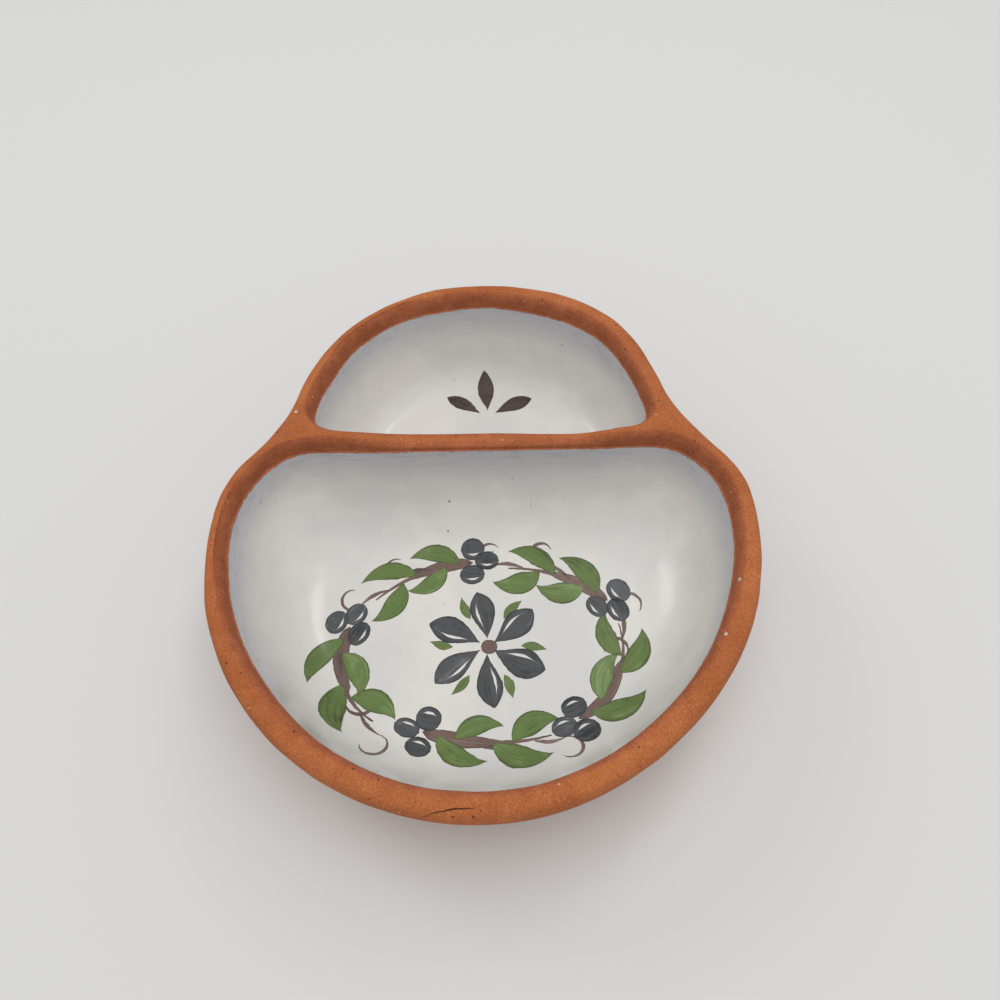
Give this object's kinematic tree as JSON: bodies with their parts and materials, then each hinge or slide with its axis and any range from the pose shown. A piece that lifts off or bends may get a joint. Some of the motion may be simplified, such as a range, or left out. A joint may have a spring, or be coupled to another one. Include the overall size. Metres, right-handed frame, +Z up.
{
  "type": "olive dish",
  "caption": "Terracotta olive dish, divided into a round bowl for the olives and a half-moon dish for the pits, with white glazed linings.",
  "frame": {"origin": "centre of the dish's bounding box, on the flat base that it stands on", "axes": "+Z up, -Y towards the front of the main bowl, +Y towards the pit dish, +X to the right; the dish is symmetric about X = 0"},
  "size_m": [0.165, 0.187, 0.044],
  "materials": {
    "terracotta": "unglazed fired clay, fine grained and matt",
    "white_glaze": "glossy white tin glaze with a bluish cast",
    "painted_brushwork": "glossy brush-painted glaze colours"
  },
  "bodies": {
    "root": {"main_bowl": "terracotta", "divider_wall": "terracotta", "pit_dish": "terracotta", "bowl_glaze": "white_glaze", "pit_glaze": "white_glaze"}
  },
  "joints": []
}
